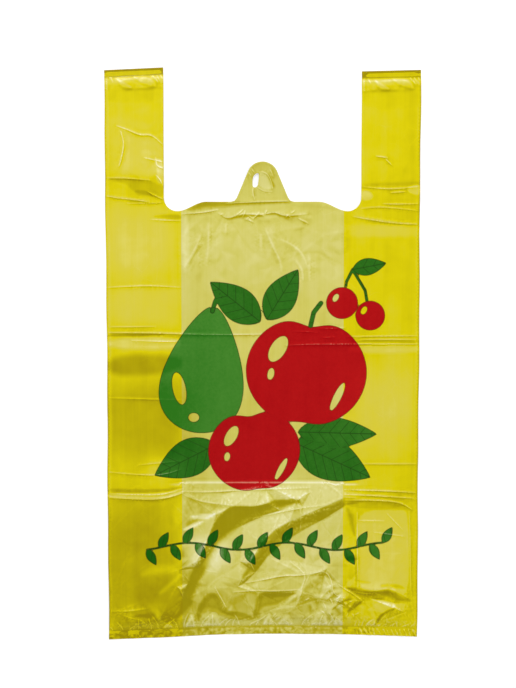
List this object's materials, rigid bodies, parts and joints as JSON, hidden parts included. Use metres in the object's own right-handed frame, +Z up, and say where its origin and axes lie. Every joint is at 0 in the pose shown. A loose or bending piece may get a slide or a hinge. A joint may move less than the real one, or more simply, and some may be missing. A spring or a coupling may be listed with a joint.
{
  "type": "plastic carrier bag",
  "caption": "Thin yellow film carrier bag lying empty and flat, with loop handles, gusseted sides, a welded bottom, a hanging tab in the mouth and a plain printed front",
  "frame": {"origin": "under the middle of the flat bag, on the surface that it lies on", "axes": "+X across the bag to the right as the printed side is read, +Y along the bag from the bottom weld to the handles, +Z up out of the printed front"},
  "size_m": [0.3, 0.545, 0.0076],
  "materials": {
    "film": "semi-gloss yellow film, slightly see-through"
  },
  "bodies": {
    "root": {"carrier_bag": "film"}
  },
  "joints": []
}
